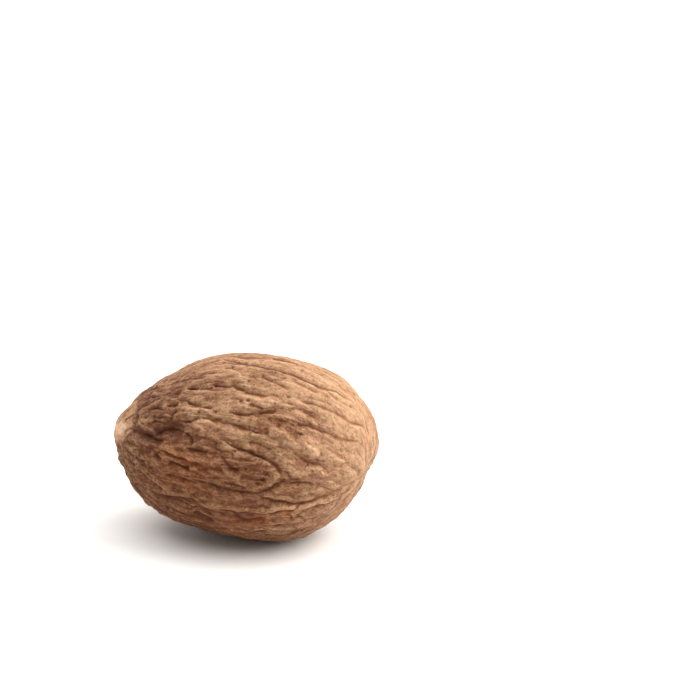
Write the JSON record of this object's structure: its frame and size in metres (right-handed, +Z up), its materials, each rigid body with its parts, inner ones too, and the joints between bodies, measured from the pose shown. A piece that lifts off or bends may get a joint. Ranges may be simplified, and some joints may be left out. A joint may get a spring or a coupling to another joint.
{
  "type": "whole nutmeg",
  "caption": "Dried whole nutmeg kernel, egg-shaped, with lengthwise wrinkles, a pale hilum scar at the narrow end and a small flat spot to rest on.",
  "frame": {"origin": "middle of the outline, on the surface the nutmeg rests on", "axes": "+Z up; +X along the kernel, from the hilum towards the blunt end; -Y towards the more wrinkled side"},
  "size_m": [0.0256, 0.0176, 0.0177],
  "materials": {
    "nutmeg_shell": "dry, wrinkled, matt"
  },
  "bodies": {
    "root": {"nutmeg": "nutmeg_shell"}
  },
  "joints": []
}
